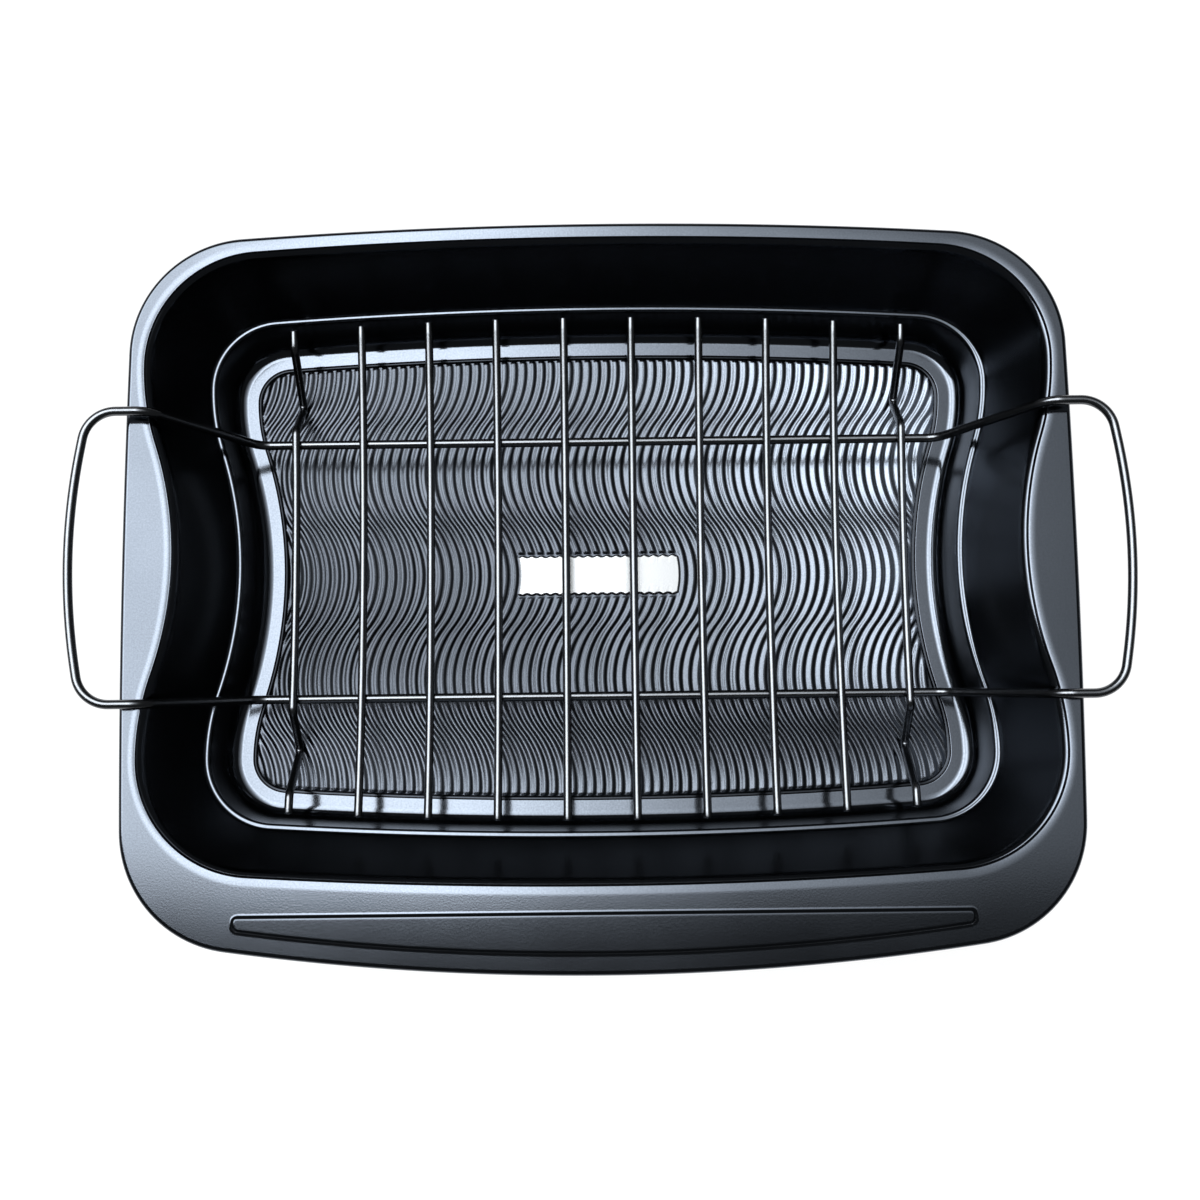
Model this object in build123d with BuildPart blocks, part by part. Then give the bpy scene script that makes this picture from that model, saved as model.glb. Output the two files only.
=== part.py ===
import os
from math import asin, atan2, cos, degrees, hypot, radians, sin, sqrt, tan

from build123d import *

os.makedirs("parts", exist_ok=True)

# A pressed roasting pan with a lift-out wire rack.
# X runs along the long side, Y towards the back and Z up. The pull tab of the rim is at the front.
# The origin is the middle of the floor's underside, and all sizes are millimetres.

# The bowl, measured at the top of the wall
opening_length = 330.2
opening_width = 234.4
long_side_radius = 1890.0
waist_depth = 11.5
waist_share = 0.592  # the waist's part of the two radii that make the short side's curve

# The sheet and the section of the wall
sheet = 0.8
pan_height = 56.0
rim_bend = 2.2
ledge_height = 22.4
ledge_inset = 14.4
ledge_width = 2.0
ledge_bend = 0.4
ledge_root = 1.2
lower_wall_inset = 3.2
floor_fillet = 3.5

# The floor: a flat band, a narrow groove and the field inside it
band_width = 8.2
groove_width = 1.7
groove_depth = 0.35
field_corner = 11.9

# The flange, measured from the bowl's opening to its rim, and the rim's curled edge
flange_side = 8.1
flange_back = 6.8
flange_front = 32.6
rim_back_radius = 2050.0
rim_front_radius = 955.0
rim_side_radius = 4000.0
rim_corner = 44.0
curl_radius = 1.8
curl_turn = 285.0

# The raised panel on the pull tab
tab_panel_from_side = 41.8
tab_panel_end = 6.0
tab_panel_margin = 7.2
tab_panel_height = 1.0
tab_panel_tip = 2.4
tab_panel_tip_share = 0.42  # the most of the panel's end that each of its rounded tips may take
tab_panel_draft = 35.0

# The rack's loop: two long wires that carry on round both handles
loop_wire = 3.4
loop_height = 17.8
rise_run = 31.0
rise_foot_bend = 9.0
rise_top_bend = 10.0
handle_over_rim = 6.0
handle_reach = 27.2
handle_flare = 3.4
handle_corner = 12.0
handle_bow_angle = 10.0

# The cross wires, welded on top of the long wires
cross_wire = 3.2
cross_count = 10
cross_end_inset = 14.5
cross_end_clearance = 4.2
cross_overhang = 47.0
cradle_radius = 506.0
weld_sink = 0.2

# The feet, bent into the first and the last cross wire
foot_clearance = 0.3
foot_from_end = 24.3
foot_leg_angle = 33.0
foot_splay = 1.4
foot_tip_bend = 2.6
foot_top_bend = 3.6

overrun = 5.0

# Worked-out places of the bowl's outline
half_length = opening_length / 2
half_width = opening_width / 2
floor_inset = ledge_inset + ledge_width + lower_wall_inset
groove_inset = floor_inset + band_width
field_inset = groove_inset + groove_width
corner_radius = field_corner + field_inset
corner_x = half_length - corner_radius
long_centre_y = half_width - long_side_radius
corner_y = long_centre_y + sqrt((long_side_radius - corner_radius) ** 2 - corner_x**2)
waist_and_shoulder = (waist_depth**2 + corner_y**2) / (2 * waist_depth)
waist_radius = waist_and_shoulder * waist_share
shoulder_radius = waist_and_shoulder - waist_radius
long_turn = degrees(atan2(corner_x, corner_y - long_centre_y))
waist_turn = degrees(atan2(corner_y, waist_and_shoulder - waist_depth))
shoulder_x = half_length - shoulder_radius
waist_x = half_length - waist_depth + waist_radius

# Worked-out places of the rim
rim_side = half_length + flange_side
rim_back = half_width + flange_back
rim_front = half_width + flange_front


# Each arc of an outline is (centre x, centre y, radius, start angle, end angle), and each is
# tangent to the next. The bowl's half outline runs clockwise from the back: the long side, the
# corner, the shoulder, the waist in the short side, and the shoulder and corner in front of it.
def bowl_arcs(inset):
    half = [
        (0, long_centre_y, long_side_radius - inset, 90 + long_turn, 90 - long_turn),
        (corner_x, corner_y, corner_radius - inset, 90 - long_turn, 0),
        (shoulder_x, corner_y, shoulder_radius - inset, 0, -waist_turn),
        (waist_x, 0, waist_radius + inset, 180 - waist_turn, 180 + waist_turn),
        (shoulder_x, -corner_y, shoulder_radius - inset, waist_turn, 0),
        (corner_x, -corner_y, corner_radius - inset, 0, long_turn - 90),
    ]
    turned = [(-x, -y, radius, start + 180, end + 180) for x, y, radius, start, end in half]
    return half + turned


# The centre of a corner of the rim, which touches the side's arc and the back's or front's arc.
def rim_corner_centre(end_y, end_radius):
    side_x = rim_side - rim_side_radius
    end_x, end_centre_y = 0, end_y - end_radius
    side_reach = rim_side_radius - rim_corner
    end_reach = end_radius - rim_corner
    span = hypot(end_x - side_x, end_centre_y)
    along = (side_reach**2 - end_reach**2 + span**2) / (2 * span)
    away = sqrt(side_reach**2 - along**2)
    ux, uy = (end_x - side_x) / span, end_centre_y / span
    return side_x + along * ux - away * uy, along * uy + away * ux


# The rim's outline, clockwise from the back, moved in by an inset.
def rim_arcs(inset):
    back_x, back_y = rim_corner_centre(rim_back, rim_back_radius)
    front_x, front_y = rim_corner_centre(rim_front, rim_front_radius)
    side_x = rim_side - rim_side_radius
    back_turn = degrees(atan2(back_x, back_y - (rim_back - rim_back_radius)))
    front_turn = degrees(atan2(front_x, front_y - (rim_front - rim_front_radius)))
    side_back = degrees(asin(back_y / (rim_side_radius - rim_corner)))
    side_front = degrees(asin(front_y / (rim_side_radius - rim_corner)))
    corner = rim_corner - inset
    back_centre = rim_back - rim_back_radius
    front_centre = rim_front_radius - rim_front
    side = rim_side_radius - inset
    return [
        (0, back_centre, rim_back_radius - inset, 90 + back_turn, 90 - back_turn),
        (back_x, back_y, corner, 90 - back_turn, side_back),
        (side_x, 0, side, side_back, -side_front),
        (front_x, -front_y, corner, -side_front, front_turn - 90),
        (0, front_centre, rim_front_radius - inset, front_turn - 90, -90 - front_turn),
        (-front_x, -front_y, corner, -90 - front_turn, side_front - 180),
        (-side_x, 0, side, side_front - 180, -180 - side_back),
        (-back_x, back_y, corner, -180 - side_back, back_turn - 270),
    ]


def draw_arcs(arcs):
    for x, y, radius, start, end in arcs:
        CenterArc((x, y), radius, start, end - start)


# The plane of a section that stands on the start of an arc: x is outward and y is up.
def section_plane(arc, outward=1):
    x, y, radius, start, end = arc
    away = Vector(cos(radians(start)), sin(radians(start)))
    point = Vector(x, y) + away * radius
    across = away * outward
    return Plane(origin=point, x_dir=across, z_dir=Vector(across.Y, -across.X))


# Turns a section round the centre of each arc of an outline, so that it follows the outline.
def follow(arcs, profile):
    for arc in arcs:
        x, y, radius, start, end = arc
        with BuildSketch(section_plane(arc, -1 if end > start else 1)) as section:
            make_face(profile)
        revolve(section.sketch, axis=Axis((x, y, 0), (0, 0, 1)), revolution_arc=end - start)


# The sheet from the flange over the rim bend, down past the ledge and into the floor.
def wall_profile():
    with BuildLine() as profile:
        FilletPolyline(
            (rim_bend + sheet + rim_bend, pan_height),
            (0, pan_height),
            (-ledge_inset, ledge_height),
            (-ledge_inset - ledge_width, ledge_height),
            (-floor_inset, sheet),
            (-floor_inset - floor_fillet, sheet),
            radius=[rim_bend + sheet, ledge_root, ledge_bend + sheet, floor_fillet],
        )
        offset(amount=sheet, side=Side.LEFT)
    return profile.edges()


# The curl under the flange's edge, an open ring of the same sheet.
def curl_profile():
    centre = (0, pan_height - curl_radius)
    inner = curl_radius - sheet
    with BuildLine() as profile:
        outside = CenterArc(centre, curl_radius, 90, -curl_turn)
        inside = CenterArc(centre, inner, 90, -curl_turn)
        Line(outside @ 0, inside @ 0)
        Line(outside @ 1, inside @ 1)
    return profile.edges()


# The panel's outline: a straight back edge and a front edge that keeps the rim's curve.
def draw_tab_panel():
    front_radius = rim_front_radius - tab_panel_margin
    front_centre = rim_front_radius - rim_front
    end_x = rim_side - tab_panel_from_side
    end_y = front_centre - sqrt(front_radius**2 - end_x**2)
    front_y = front_centre - front_radius
    back_y = end_y + tab_panel_end
    with BuildLine() as outline:
        Polyline((-end_x, end_y), (-end_x, back_y), (end_x, back_y), (end_x, end_y))
        ThreePointArc((end_x, end_y), (0, front_y), (-end_x, end_y))
    return outline.edges()


panel_slope = tan(radians(tab_panel_draft))
panel_tip = min(tab_panel_tip, tab_panel_end * tab_panel_tip_share)
pocket_inset = sheet * (1 / cos(radians(tab_panel_draft)) - panel_slope)

with BuildPart() as pan:
    follow(bowl_arcs(0), wall_profile())
    follow(rim_arcs(curl_radius), curl_profile())
    with BuildSketch(Plane.XY.offset(pan_height - sheet)):
        with BuildLine():
            draw_arcs(rim_arcs(curl_radius))
        make_face()
        with BuildLine():
            draw_arcs(bowl_arcs(-rim_bend - sheet))
        make_face(mode=Mode.SUBTRACT)
    extrude(amount=sheet)
    with BuildSketch():
        with BuildLine():
            draw_arcs(bowl_arcs(floor_inset + floor_fillet))
        make_face()
    extrude(amount=sheet)
    # The groove round the field
    with BuildSketch(Plane.XY.offset(sheet - groove_depth)):
        with BuildLine():
            draw_arcs(bowl_arcs(groove_inset))
        make_face()
        with BuildLine():
            draw_arcs(bowl_arcs(field_inset))
        make_face(mode=Mode.SUBTRACT)
    extrude(amount=groove_depth + overrun, mode=Mode.SUBTRACT)
    # The panel is pressed up from the flange, with its hollow below
    for bottom, first_inset, mode in (
        (pan_height, 0, Mode.ADD),
        (pan_height - sheet, pocket_inset, Mode.SUBTRACT),
    ):
        for rise in (0, tab_panel_height):
            with BuildSketch(Plane.XY.offset(bottom + rise)) as level:
                make_face(draw_tab_panel())
                fillet(level.vertices(), panel_tip)
                if first_inset + rise > 0:
                    offset(amount=-first_inset - rise * panel_slope, mode=Mode.REPLACE)
        loft(mode=mode)
pan.part.label = "pan"
export_step(pan.part, "parts/pan.step")


# The rack. Half the length of a cross wire, whose ends keep the curve of the ledge beside them.
def cross_half_length(x):
    ledge_radius = long_side_radius - ledge_inset - ledge_width
    return long_centre_y + sqrt(ledge_radius**2 - x**2) - cross_end_clearance


# How far out the short side of the opening lies, at a place along Y.
def opening_side(y):
    turn_y = corner_y - shoulder_radius * sin(radians(waist_turn))
    if y > turn_y:
        return shoulder_x + sqrt(shoulder_radius**2 - (corner_y - y) ** 2)
    return waist_x - sqrt(waist_radius**2 - y**2)


loop_y = cross_half_length(0) - cross_overhang
loop_z = sheet + loop_height
handle_y = loop_y + handle_flare
handle_z = pan_height + handle_over_rim
rise_top_x = opening_side(handle_y)
rise_foot_x = rise_top_x - rise_run

# The handle's bar bows outward, so its two halves meet at a blunt, well rounded corner.
bow_slope = tan(radians(handle_bow_angle))
bow_radius = (handle_y - handle_corner) / bow_slope
bow_corner_x = rise_top_x + handle_reach + bow_radius * (hypot(1, bow_slope) - 1)
bar_end_x = bow_corner_x - handle_y * bow_slope

with BuildPart() as rack_loop_wire:
    with BuildLine() as half_loop:
        FilletPolyline(
            (0, loop_y, loop_z),
            (rise_foot_x, loop_y, loop_z),
            (rise_top_x, handle_y, handle_z),
            (bar_end_x, handle_y, handle_z),
            (bow_corner_x, 0, handle_z),
            (bar_end_x, -handle_y, handle_z),
            (rise_top_x, -handle_y, handle_z),
            (rise_foot_x, -loop_y, loop_z),
            (0, -loop_y, loop_z),
            radius=[
                rise_foot_bend,
                rise_top_bend,
                handle_corner,
                bow_radius,
                handle_corner,
                rise_top_bend,
                rise_foot_bend,
            ],
        )
    with BuildSketch(Plane(origin=half_loop.line @ 0, z_dir=half_loop.line % 0)):
        Circle(loop_wire / 2)
    sweep(path=half_loop.line)
    mirror(about=Plane.YZ)
rack_loop_wire.part.label = "rack_loop_wire"
export_step(rack_loop_wire.part, "parts/rack_loop_wire.step")

# The cross wires sag between the long wires, on one radius.
weld_z = loop_z + (loop_wire + cross_wire) / 2 - weld_sink
cradle_z = weld_z - cradle_radius + sqrt(cradle_radius**2 - loop_y**2)
first_cross_x = rise_foot_x - cross_end_inset
cross_pitch = 2 * first_cross_x / (cross_count - 1)


# The height of a cross wire's centre line at a place along Y.
def cradle_height(y):
    return cradle_z + cradle_radius - sqrt(cradle_radius**2 - y**2)


for number in range(1, cross_count - 1):
    x = number * cross_pitch - first_cross_x
    end_y = cross_half_length(x)
    with BuildPart() as wire:
        with BuildLine() as cradle:
            ThreePointArc(
                (x, end_y, cradle_height(end_y)),
                (x, 0, cradle_z),
                (x, -end_y, cradle_height(end_y)),
            )
        with BuildSketch(Plane(origin=cradle.line @ 0, z_dir=cradle.line % 0)):
            Circle(cross_wire / 2)
        sweep(path=cradle.line)
    wire.part.label = f"cross_wire_{number}"
    export_step(wire.part, f"parts/cross_wire_{number}.step")


# One half of a foot wire, from its end to the weld: the straight end, the V of the foot and
# the corner where the wire turns level again. The legs lean alike on both sides of the tip.
def foot_points(x, outward):
    end_y = cross_half_length(x)
    tip_y = end_y - foot_from_end
    lean = tan(radians(foot_leg_angle))
    tip_rise = foot_tip_bend / sin(radians(foot_leg_angle)) - foot_tip_bend
    tip_z = sheet + foot_clearance + cross_wire / 2 - tip_rise
    end_z = cradle_height(end_y)
    end_slope = end_y / sqrt(cradle_radius**2 - end_y**2)
    outer_z = (end_z - (foot_from_end + tip_z * lean) * end_slope) / (1 - lean * end_slope)
    inner_slope = loop_y / sqrt(cradle_radius**2 - loop_y**2)
    middle_z = weld_z - loop_y * inner_slope
    inner_z = (middle_z + (tip_y + tip_z * lean) * inner_slope) / (1 + lean * inner_slope)
    return [
        (x, end_y, end_z),
        (x, tip_y + (outer_z - tip_z) * lean, outer_z),
        (x + foot_splay * outward, tip_y, tip_z),
        (x, tip_y - (inner_z - tip_z) * lean, inner_z),
        (x, 0, middle_z),
    ]


for side, outward in (("left", -1), ("right", 1)):
    back_half = foot_points(first_cross_x * outward, outward)
    front_half = [(x, -y, z) for x, y, z in reversed(back_half[:-1])]
    foot_bends = [foot_top_bend, foot_tip_bend, foot_top_bend]
    with BuildPart() as wire:
        with BuildLine() as path:
            FilletPolyline(
                *back_half,
                *front_half,
                radius=foot_bends + [cradle_radius] + foot_bends,
            )
        with BuildSketch(Plane(origin=path.line @ 0, z_dir=path.line % 0)):
            Circle(cross_wire / 2)
        sweep(path=path.line)
    wire.part.label = f"foot_wire_{side}"
    export_step(wire.part, f"parts/foot_wire_{side}.step")
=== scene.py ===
import bmesh
import bpy
import numpy as np
from mathutils import Euler, Matrix, Vector


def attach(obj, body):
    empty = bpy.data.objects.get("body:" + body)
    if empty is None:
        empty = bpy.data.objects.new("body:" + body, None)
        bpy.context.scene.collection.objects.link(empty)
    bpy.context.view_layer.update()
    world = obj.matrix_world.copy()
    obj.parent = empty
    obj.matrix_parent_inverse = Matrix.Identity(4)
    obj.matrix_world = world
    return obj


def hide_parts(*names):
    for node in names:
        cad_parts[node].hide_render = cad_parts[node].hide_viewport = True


# A coated roasting pan with its wire rack. X is the long side, Y the back and Z up.
# Sizes are millimetres and degrees unless a note says otherwise; makePiece turns them into metres.

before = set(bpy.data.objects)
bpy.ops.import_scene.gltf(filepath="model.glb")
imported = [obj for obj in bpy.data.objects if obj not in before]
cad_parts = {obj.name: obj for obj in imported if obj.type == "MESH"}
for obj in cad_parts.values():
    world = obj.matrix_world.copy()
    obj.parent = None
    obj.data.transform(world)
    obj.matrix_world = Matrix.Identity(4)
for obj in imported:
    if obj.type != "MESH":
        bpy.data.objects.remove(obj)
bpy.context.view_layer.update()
print("frame loaded")

millimetre = 0.001


# A mesh object in metres at the origin, turned so that its faces point outwards.
def makePiece(name, vertices, faces, body, nodes, material):
    mesh = bpy.data.meshes.new(name)
    mesh.from_pydata((vertices * millimetre).tolist(), [], faces)
    mesh.validate()
    mesh.update()
    bm = bmesh.new()
    bm.from_mesh(mesh)
    if bm.calc_volume(signed=True) < 0:
        bmesh.ops.reverse_faces(bm, faces=bm.faces)
    bm.to_mesh(mesh)
    bm.free()
    mesh.polygons.foreach_set("use_smooth", np.ones(len(mesh.polygons), bool))
    piece = bpy.data.objects.new(name, mesh)
    bpy.context.scene.collection.objects.link(piece)
    mesh.materials.append(material)
    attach(piece, body)
    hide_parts(*nodes)
    return piece


# One value per vertex under each name, for the material to read.
def setValues(piece, table):
    for name, values in table.items():
        kept = piece.data.attributes.new(name, "FLOAT", "POINT")
        kept.data.foreach_set("value", values.ravel().astype(np.float32))


# Quads of a rows x columns grid, as (r, c), (r, c+1), (r+1, c+1), (r+1, c), wrapping where closed.
def gridFaces(rows, columns, closeRows, closeColumns):
    r = np.arange(rows if closeRows else rows - 1)[:, None]
    c = np.arange(columns if closeColumns else columns - 1)[None, :]
    nextR, nextC = (r + 1) % rows, (c + 1) % columns
    quads = [r * columns + c, r * columns + nextC, nextR * columns + nextC, nextR * columns + c]
    return np.stack(quads, -1).reshape(-1, 4)


# A line with each inner corner replaced by its tangent arc.
# The arc starts r * tan(turn / 2) before the corner and stands on the bisector, and is cut in steps.
def roundedLine(points, radii, steps):
    points = np.asarray(points, float)
    made = [points[0][None]]
    for before, corner, after, radius in zip(points, points[1:], points[2:], radii):
        inward = (before - corner) / np.linalg.norm(before - corner)
        outward = (after - corner) / np.linalg.norm(after - corner)
        turn = np.pi - np.arccos(np.clip(inward @ outward, -1, 1))
        bisector = (inward + outward) / np.linalg.norm(inward + outward)
        centre = corner + bisector * radius / np.cos(turn / 2)
        start = corner + inward * radius * np.tan(turn / 2) - centre
        angle = np.linspace(0, turn, steps)[:, None]
        made.append(centre + start * np.cos(angle) - inward * radius * np.sin(angle))
    made.append(points[-1][None])
    return np.concatenate(made)


# A smooth step: 3 s^2 - 2 s^3.
def smoothStep(share):
    return share * share * (3 - 2 * share)


# The pan

bowl = {
    "halfLength": 165.1, "halfWidth": 117.2,
    "longRadius": 1890.0, "cornerRadius": 41.4, "waistRadius": 135.57, "waistDepth": 11.5,
    "longColumns": 52, "cornerColumns": 44, "shoulderColumns": 18, "waistColumns": 40,
}
section = {
    "sheet": 0.8, "height": 56.0, "rimBend": 3.0,
    "softBend": 14.0, "softDrop": 0.7, "softAngle": 13.0, "flatFrom": 4.5,   # the roll before the flange
    "ledgeHeight": 22.4, "ledgeInset": 14.4, "ledgeWidth": 2.0, "ledgeRoot": 1.2, "ledgeBend": 1.2,
    "floorInset": 19.6, "floorFillet": 4.6,
    "grooveInset": 27.8, "grooveFloor": 0.3, "grooveLean": 0.45, "grooveRoot": 0.3, "grooveEdge": 0.35,
    "fieldInset": 29.5, "fieldOverlap": 0.05,
    "bendSteps": 7,
    "flatGap": 3, "flatShares": (0.06, 0.3, 0.7, 0.94, 1.0),   # rows on stretches longer than the gap
}
# Painted shade: the groove and the walls are painted darker, the walls are also made rougher, and the ledge
# is left out of both.
sectionShadeAndRoughness = {
    "paintedGrooveShade": -0.8, "paintedWallShade": -0.35, "wallSoft": 1.4,
    "wallFrom": 6.5, "wallTo": 53.0, "ledgeClear": 1.8,   # heights of the wall, without its ledge
}
rim = {
    "back": 124.0, "front": 149.8, "side": 173.2,
    "backRadius": 2050.0, "frontRadius": 955.0, "sideRadius": 4000.0, "cornerRadius": 44.0,
    "curlRadius": 1.8, "curlTurn": 285.0, "curlSteps": 18,
}
tabPanel = {
    "halfLength": 131.4, "width": 15.15, "margin": 7.2, "height": 1.0,
    # The pressed panel is painted darker as it rises: painted shade.
    "slope": 1.6, "spill": 0.2, "tip": 2.4, "paintedLightAndShade": -0.35,
    "extraColumns": 14, "extraFrom": 0.1, "extraPast": 1.2,   # columns close together at the panel's ends
    "slopeRows": (-0.6, -0.4, -0.22, 0, 0.17, 0.33, 0.5, 0.67, 0.83, 1.0, 1.3),   # in widths of the slope
}
flange = {
    "aheadFrom": 0.8, "aheadBlend": 0.15, "aheadLeast": 0.2,   # how far forward the outline faces
    "backShare": 0.35, "frontShare": 0.75, "slopeShare": 0.05,   # of the reach, where there is no panel
    "firstRow": 0.02, "lastRow": 0.995, "halfLead": 0.1, "outerShare": 0.6,
}

# The bowl's outline is twelve tangent arcs: two long sides, four corners, four shoulders and two
# waists. Each arc is (centre x, centre y, radius, start, end, columns), clockwise from the back.
cornerX = bowl["halfLength"] - bowl["cornerRadius"]
longCentre = bowl["halfWidth"] - bowl["longRadius"]
cornerY = longCentre + np.sqrt((bowl["longRadius"] - bowl["cornerRadius"]) ** 2 - cornerX**2)
bothRadii = (bowl["waistDepth"] ** 2 + cornerY**2) / (2 * bowl["waistDepth"])
shoulderRadius = bothRadii - bowl["waistRadius"]
longTurn = np.degrees(np.arctan2(cornerX, cornerY - longCentre))
waistTurn = np.degrees(np.arctan2(cornerY, bothRadii - bowl["waistDepth"]))
shoulderX = bowl["halfLength"] - shoulderRadius
waistX = bowl["halfLength"] - bowl["waistDepth"] + bowl["waistRadius"]
halfOutline = [
    (0, longCentre, bowl["longRadius"], 90 + longTurn, 90 - longTurn, bowl["longColumns"]),
    (cornerX, cornerY, bowl["cornerRadius"], 90 - longTurn, 0, bowl["cornerColumns"]),
    (shoulderX, cornerY, shoulderRadius, 0, -waistTurn, bowl["shoulderColumns"]),
    (waistX, 0, -bowl["waistRadius"], 180 - waistTurn, 180 + waistTurn, bowl["waistColumns"]),
    (shoulderX, -cornerY, shoulderRadius, waistTurn, 0, bowl["shoulderColumns"]),
    (cornerX, -cornerY, bowl["cornerRadius"], 0, longTurn - 90, bowl["cornerColumns"]),
]
bowlArcs = halfOutline + [(-x, -y, r, start + 180, end + 180, n) for x, y, r, start, end, n in halfOutline]

panelBack = tabPanel["width"] - (rim["front"] - tabPanel["margin"])   # the y of the panel's back edge


# The rim's eight arcs (centre x, centre y, radius) moved in by inset: the back and its two corners, the
# front and its two, then the right and left sides. A corner's centre lies at (side radius - corner) from
# the side's centre and at (end radius - corner) from the end's.
def rimArcs(inset):
    arcs = []
    sideX = rim["side"] - rim["sideRadius"]
    ends = ((rim["back"], rim["backRadius"], 1), (rim["front"], rim["frontRadius"], -1))
    for end, endRadius, way in ends:
        endY = end - endRadius
        sideReach, endReach = rim["sideRadius"] - rim["cornerRadius"], endRadius - rim["cornerRadius"]
        span = np.hypot(sideX, endY)
        along = (sideReach**2 - endReach**2 + span**2) / (2 * span)
        away = np.sqrt(sideReach**2 - along**2)
        x = sideX - (along * sideX + away * endY) / span
        y = (along * endY - away * sideX) / span
        arcs += [
            (0, endY * way, endRadius - inset),
            (x, y * way, rim["cornerRadius"] - inset),
            (-x, y * way, rim["cornerRadius"] - inset),
        ]
    return arcs + [(way * sideX, 0, rim["sideRadius"] - inset) for way in (1, -1)]


# Points and outward normals round the bowl's outline at the opening.
# point = centre + |radius| (cos a, sin a); the normal points away from the centre, or to it on a waist.
def bowlColumns():
    points, normals = [], []
    for x, y, radius, start, end, columns in bowlArcs:
        angle = np.linspace(start, end, columns, endpoint=False)
        if y < 0 and radius == bowl["cornerRadius"]:   # more columns where the tab panel's tips lie
            tipAngle = np.degrees(np.arcsin((tabPanel["halfLength"] - cornerX) / (y - panelBack)))
            first, last = longTurn + tabPanel["extraFrom"], tipAngle + tabPanel["extraPast"]
            spread = np.linspace(first, last, tabPanel["extraColumns"])
            angle = np.append(angle, 270 - spread if x < 0 else spread - 90)
            angle = np.sort(angle)[::-1]
        angle = np.radians(angle)
        away = np.stack([np.cos(angle), np.sin(angle)], -1)
        points.append(np.array([x, y]) + abs(radius) * away)
        normals.append(away * np.sign(radius))
    return np.concatenate(points), np.concatenate(normals)


# The pressed panel's height: full inside, and a smooth step of the slope's width at its edge.
# The outline is where a straight back edge, the rim's curve and two ends meet, with rounded tips.
def panelRise(x, y):
    centre = rim["frontRadius"] - rim["front"]
    back = y - panelBack
    front = np.hypot(x, y - centre) - (rim["frontRadius"] - tabPanel["margin"])
    ends = np.abs(x) - tabPanel["halfLength"]
    sides = np.stack([back, front, ends]) + tabPanel["tip"]
    outside = np.linalg.norm(np.maximum(sides, 0), axis=0) + np.minimum(sides.max(0), 0) - tabPanel["tip"]
    return tabPanel["height"] * smoothStep(np.clip((tabPanel["spill"] - outside) / tabPanel["slope"], 0, 1))


# The upper skin from the groove's floor to the flange, as (outward, z), with its unit normals:
# straight stretches between corners, each rounded by its own bend.
def wallLine():
    height, drop = section["height"], section["softDrop"]
    turnX = -drop * section["ledgeInset"] / (height - section["ledgeHeight"])
    points = [
        (-section["fieldInset"] - section["fieldOverlap"], section["grooveFloor"]),
        (-section["grooveInset"] - section["grooveLean"], section["grooveFloor"]),
        (-section["grooveInset"], section["sheet"]),
        (-section["floorInset"], section["sheet"]),
        (-section["ledgeInset"] - section["ledgeWidth"], section["ledgeHeight"]),
        (-section["ledgeInset"], section["ledgeHeight"]),
        (turnX, height - drop),
        (turnX + drop / np.tan(np.radians(section["softAngle"])), height),
        (2 * section["flatFrom"], height),
    ]
    names = ("grooveRoot", "grooveEdge", "floorFillet", "ledgeBend", "ledgeRoot", "rimBend", "softBend")
    line = roundedLine(points, [section[name] for name in names], section["bendSteps"])[:-1]
    gaps = np.linalg.norm(np.diff(line, axis=0), axis=1)
    pieces = [line[:1]]
    for first, second, gap in zip(line, line[1:], gaps):
        shares = np.array(section["flatShares"] if gap > section["flatGap"] else (1.0,))
        pieces.append(first + (second - first) * shares[:, None])
    line = np.concatenate(pieces)
    ahead = np.gradient(line, axis=0)
    normal = np.stack([-ahead[:, 1], ahead[:, 0]], -1)
    return line, normal / np.linalg.norm(normal, axis=1, keepdims=True)


# Where rays from the bowl meet the rim: origin + s direction, with s = -b + sqrt(b^2 - c) of an arc's
# circle. Only a hit on the arc itself counts, and the nearest of them is taken.
def rimHits(origin, direction, inset):
    best = np.full(len(origin), np.inf)
    normal = np.zeros_like(origin)
    for number, (x, y, radius) in enumerate(rimArcs(inset)):
        offset = origin - (x, y)
        b = (offset * direction).sum(1)
        reach = -b + np.sqrt(np.maximum(b * b - (offset**2).sum(1) + radius**2, 0))
        away = (offset + reach[:, None] * direction) / radius
        take = onRimArc(number, away) & (reach < best) & (reach > 0)
        best = np.where(take, reach, best)
        normal[take] = away[take]
    return best, normal


# Whether an arc of the rim holds the place whose outward direction is away, with a hair's slack.
# Two arcs meet on the line through their centres, where the direction's x or y is the corner centre's
# x or y / (the difference of their radii).
def onRimArc(number, away):
    arcs = rimArcs(0)
    x, y, radius = arcs[number]
    backCorner, frontCorner = arcs[1], arcs[4]
    slack = 1e-6
    if number in (0, 3):   # the back and the front
        corner = backCorner if number == 0 else frontCorner
        limit = abs(corner[0] / (radius - rim["cornerRadius"]))
        return (np.abs(away[:, 0]) <= limit + slack) & (away[:, 1] * np.sign(corner[1]) > 0)
    if number in (6, 7):   # the right and the left side
        reach = radius - rim["cornerRadius"]
        facing = away[:, 0] * (1 if number == 6 else -1) > 0
        beforeBack = away[:, 1] <= backCorner[1] / reach + slack
        return facing & beforeBack & (away[:, 1] >= frontCorner[1] / reach - slack)
    endReach = (rim["backRadius"] if y > 0 else rim["frontRadius"]) - rim["cornerRadius"]
    sideReach = rim["sideRadius"] - rim["cornerRadius"]
    pastEnd = away[:, 0] * np.sign(x) >= abs(x) / endReach - slack
    return pastEnd & (away[:, 1] * np.sign(y) >= abs(y) / sideReach - slack)


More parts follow.
